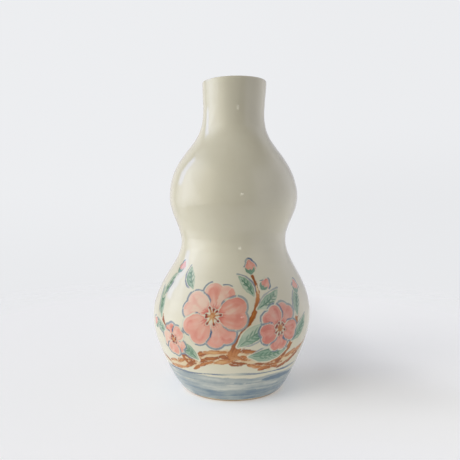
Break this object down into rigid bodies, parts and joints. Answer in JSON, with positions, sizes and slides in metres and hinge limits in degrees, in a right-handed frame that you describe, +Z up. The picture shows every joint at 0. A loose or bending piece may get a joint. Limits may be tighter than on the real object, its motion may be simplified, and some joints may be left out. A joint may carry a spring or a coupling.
{
  "type": "bud vase",
  "caption": "Double-gourd bud vase in glossy cream glaze with a slim open neck, a turned foot and a painted flower spray; stands on its foot and holds a few stems in water.",
  "frame": {"origin": "centre of the foot ring's standing face", "axes": "+Z up along the vase's axis, -Y towards the painted front"},
  "size_m": [0.0876, 0.0874, 0.17],
  "materials": {
    "bare_clay": "unglazed fired stoneware, matt and slightly gritty",
    "luting_slip": "fired slip, matt",
    "painted_glaze": "glossy cream glaze over brushed underglaze decoration",
    "liner_glaze": "glossy cream liner glaze"
  },
  "bodies": {
    "root": {"lower_bulb": "bare_clay", "waist_slip": "luting_slip", "upper_bulb": "bare_clay", "outer_glaze": "painted_glaze", "liner_glaze": "liner_glaze"}
  },
  "joints": []
}
